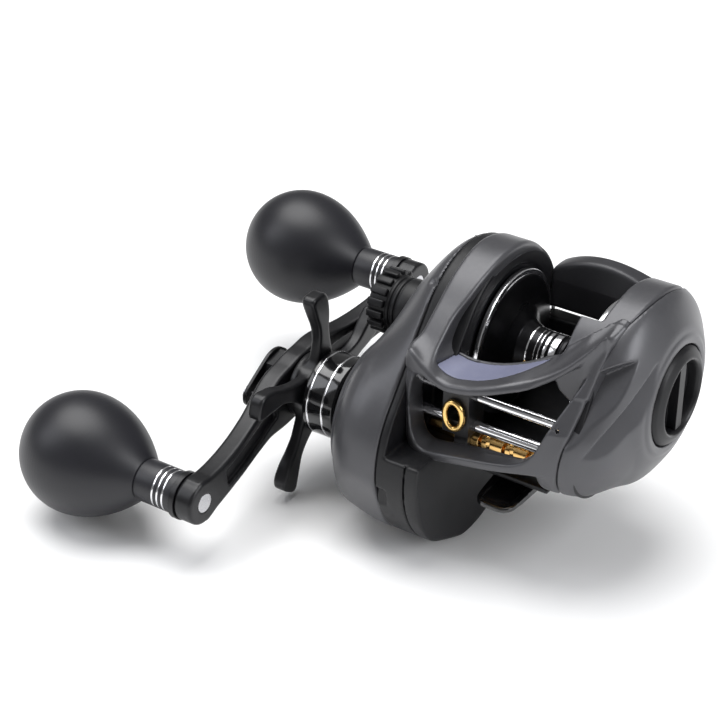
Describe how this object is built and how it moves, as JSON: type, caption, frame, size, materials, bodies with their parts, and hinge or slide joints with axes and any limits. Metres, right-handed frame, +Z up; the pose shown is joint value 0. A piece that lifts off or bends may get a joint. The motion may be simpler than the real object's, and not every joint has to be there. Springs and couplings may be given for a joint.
{
  "type": "fishing reel",
  "caption": "Low-profile baitcasting reel: framed spool between side plates, level-wind guide, star drag and a double handle with round power knobs.",
  "frame": {"origin": "middle of the foot's underside, where it lies in a rod's reel seat, straight below the spool's centre", "axes": "+X along the spool axis towards the palm side, -Y forward, where the line leaves, +Z up"},
  "size_m": [0.1454, 0.1248, 0.0726],
  "materials": {
    "black_body": "satin black moulded",
    "grey_shell": "metallic grey paint, satin",
    "badge": "pale lavender inlay, satin",
    "gloss_black": "gloss black anodised, thin silver lines",
    "satin_black": "satin black anodised",
    "spool_black": "black anodised, bare polished rim",
    "steel": "machined",
    "chrome_rod": "polished",
    "brass": "machined",
    "gold_eye": "polished gold",
    "knob_rubber": "soft-touch charcoal",
    "guide_plastic": "moulded",
    "carbon": "woven carbon"
  },
  "bodies": {
    "frame": {"frame": "black_body", "reel_foot": "black_body", "handle_side_plate": "grey_shell", "palm_side_plate": "grey_shell", "front_cover": "grey_shell", "deck_badge": "badge", "spool_bearings": "steel", "magnet_carrier": "black_body", "brake_magnets": "steel", "pinion_bearing": "steel", "yoke_posts": "steel", "drive_bearing": "steel", "roller_clutch": "steel", "drag_collar": "gloss_black", "collar_boot": "black_body", "guide_rods": "chrome_rod", "worm_bushings": "guide_plastic", "side_plate_screws": "steel", "gearbox_screw": "satin_black", "tension_shim": "steel"},
    "handle": {"drive_shaft": "steel", "drive_gear": "brass", "drag_washers": "carbon", "keyed_washer": "steel", "pressure_plate": "steel", "drag_springs": "steel", "wind_gear": "brass", "drive_sleeve": "steel", "handle_arm": "satin_black", "handle_nut": "satin_black", "nut_retainer": "satin_black", "retainer_screw": "steel", "knob_post_front": "steel", "knob_post_rear": "steel", "knob_washer_front": "satin_black", "knob_washer_rear": "satin_black"},
    "star": {"star_drag": "satin_black"},
    "front_knob": {"knob_front": "knob_rubber", "knob_bearing_front": "steel"},
    "rear_knob": {"knob_rear": "knob_rubber", "knob_bearing_rear": "steel"},
    "spool": {"spool": "spool_black", "spool_shaft": "steel"},
    "yoke": {"clutch_yoke": "guide_plastic"},
    "pinion": {"pinion_gear": "brass"},
    "thumb": {"thumb_bar": "grey_shell", "clutch_cam": "black_body"},
    "worm": {"worm_shaft": "brass", "worm_gear": "brass"},
    "guide": {"line_guide": "guide_plastic", "guide_eye": "gold_eye", "guide_pawl": "guide_plastic", "pawl_cap": "guide_plastic"},
    "tension": {"tension_knob": "satin_black"},
    "dial": {"brake_dial": "satin_black", "dial_insert": "black_body"}
  },
  "joints": [
    {"name": "handle_spin", "type": "hinge", "parent": "frame", "child": "handle", "pos_m": [0, -0.0155, 0.00488], "axis": [1, 0, 0], "continuous": true},
    {"name": "star_turn", "type": "hinge", "parent": "handle", "child": "star", "pos_m": [0, -0.0155, 0.00488], "axis": [1, 0, 0], "range_deg": [-180, 180]},
    {"name": "front_knob_spin", "type": "hinge", "parent": "handle", "child": "front_knob", "pos_m": [-0.08, -0.06236, -0.00287], "axis": [1, 0, 0], "continuous": true},
    {"name": "rear_knob_spin", "type": "hinge", "parent": "handle", "child": "rear_knob", "pos_m": [-0.08, 0.03136, 0.01264], "axis": [1, 0, 0], "continuous": true},
    {"name": "spool_spin", "type": "hinge", "parent": "frame", "child": "spool", "pos_m": [0, 0, 0.0265], "axis": [1, 0, 0], "continuous": true},
    {"name": "thumb_press", "type": "slide", "parent": "frame", "child": "thumb", "axis": [0, 0, 1], "range_m": [-0.0025, 0]},
    {"name": "clutch_slide", "type": "slide", "parent": "frame", "child": "yoke", "axis": [1, 0, 0], "range_m": [-0.0011, 0]},
    {"name": "pinion_spin", "type": "hinge", "parent": "yoke", "child": "pinion", "pos_m": [0, 0, 0.0265], "axis": [1, 0, 0], "continuous": true},
    {"name": "worm_spin", "type": "hinge", "parent": "frame", "child": "worm", "pos_m": [0, -0.021, 0.0119], "axis": [1, 0, 0], "continuous": true},
    {"name": "guide_travel", "type": "slide", "parent": "frame", "child": "guide", "axis": [1, 0, 0], "range_m": [0, 0.0236]},
    {"name": "tension_turn", "type": "hinge", "parent": "frame", "child": "tension", "pos_m": [0, 0, 0.0265], "axis": [1, 0, 0], "range_deg": [-180, 180]},
    {"name": "brake_turn", "type": "hinge", "parent": "frame", "child": "dial", "pos_m": [0, 0, 0.0265], "axis": [1, 0, 0], "range_deg": [-120, 120]}
  ],
  "couplings": [
    {"joint": "spool_spin", "follows": "handle_spin", "ratio": -6.2222},
    {"joint": "pinion_spin", "follows": "handle_spin", "ratio": -6.2222},
    {"joint": "worm_spin", "follows": "handle_spin", "ratio": -1.3333},
    {"joint": "clutch_slide", "follows": "thumb_press", "ratio": 0.44}
  ]
}
